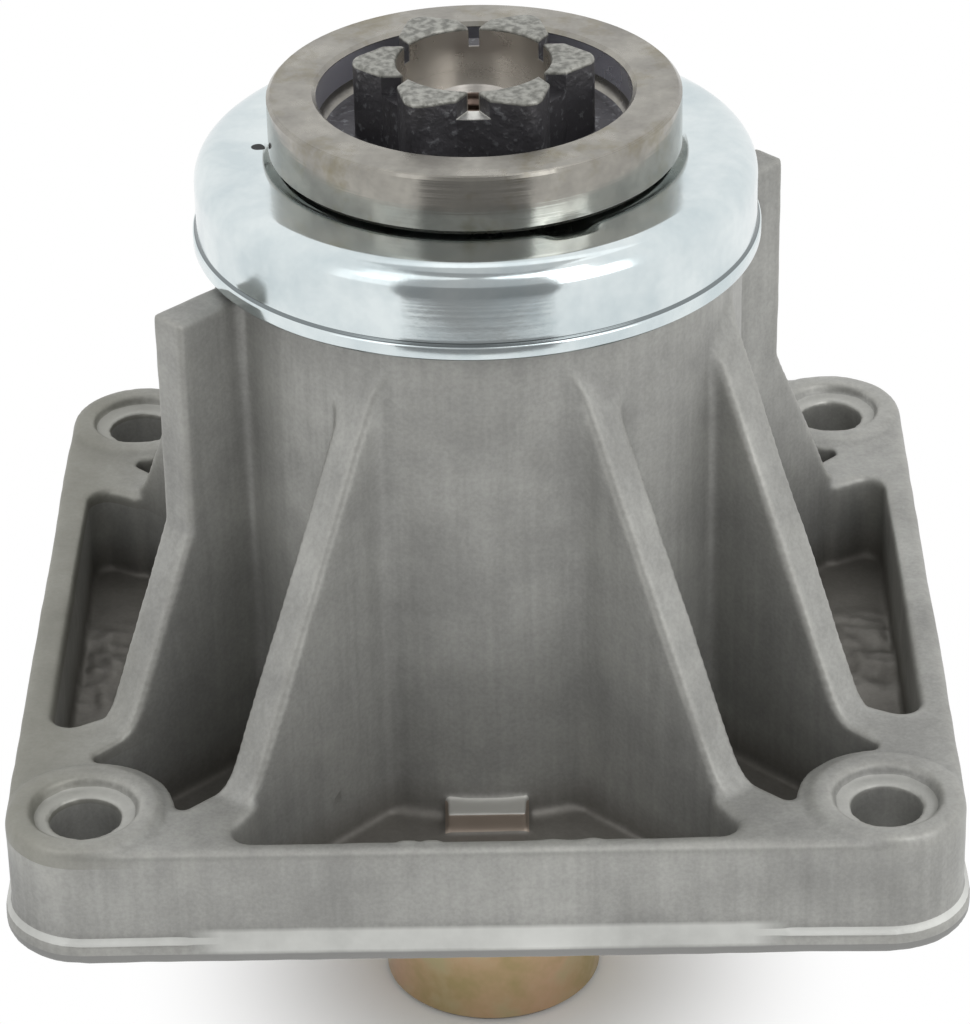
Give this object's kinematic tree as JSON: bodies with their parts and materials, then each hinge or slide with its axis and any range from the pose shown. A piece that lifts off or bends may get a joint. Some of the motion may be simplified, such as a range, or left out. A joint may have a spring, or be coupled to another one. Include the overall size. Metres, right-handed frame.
{
  "type": "mower deck spindle",
  "caption": "Blade spindle for a mower deck: ribbed cast housing with a square flange, sealed ball bearings, and a shaft with a lobed blade seat under a dust shield.",
  "frame": {"origin": "centre of the square of deck holes, on the spindle's axis, in the flange face that meets the deck", "axes": "+Z along the spindle's axis towards the blade end, X and Y parallel to the sides of the flange"},
  "size_m": [0.1216, 0.1216, 0.1392],
  "materials": {
    "cast_aluminium": "as cast, satin",
    "machined_steel": "turned",
    "zinc_plate": "bright zinc plate",
    "yellow_zinc": "yellow passivated zinc",
    "bearing_steel": "ground and polished",
    "cage_steel": "pressed sheet",
    "seal_rubber": "moulded, matt"
  },
  "bodies": {
    "housing": {"housing": "cast_aluminium", "blade_bearing_outer_ring": "bearing_steel", "blade_bearing_seal_upper": "seal_rubber", "blade_bearing_seal_lower": "seal_rubber", "pulley_bearing_outer_ring": "bearing_steel", "pulley_bearing_seal_upper": "seal_rubber", "pulley_bearing_seal_lower": "seal_rubber"},
    "rotor": {"spindle_shaft": "machined_steel", "dust_shield": "zinc_plate", "bearing_spacer": "machined_steel", "pulley_sleeve": "yellow_zinc", "blade_bearing_inner_ring": "bearing_steel", "pulley_bearing_inner_ring": "bearing_steel"},
    "blade_bearing_cage": {"blade_bearing_balls": "bearing_steel", "blade_bearing_cage_upper": "cage_steel", "blade_bearing_cage_lower": "cage_steel", "blade_bearing_cage_rivets": "cage_steel"},
    "pulley_bearing_cage": {"pulley_bearing_balls": "bearing_steel", "pulley_bearing_cage_upper": "cage_steel", "pulley_bearing_cage_lower": "cage_steel", "pulley_bearing_cage_rivets": "cage_steel"}
  },
  "joints": [
    {"name": "shaft_spin", "type": "hinge", "parent": "housing", "child": "rotor", "pos_m": [0, 0, 0], "axis": [0, 0, 1], "continuous": true},
    {"name": "blade_cage_spin", "type": "hinge", "parent": "housing", "child": "blade_bearing_cage", "pos_m": [0, 0, 0.0715], "axis": [0, 0, 1], "continuous": true},
    {"name": "pulley_cage_spin", "type": "hinge", "parent": "housing", "child": "pulley_bearing_cage", "pos_m": [0, 0, 0.0105], "axis": [0, 0, 1], "continuous": true}
  ],
  "couplings": [
    {"joint": "blade_cage_spin", "follows": "shaft_spin", "ratio": 0.39691},
    {"joint": "pulley_cage_spin", "follows": "shaft_spin", "ratio": 0.39691}
  ]
}
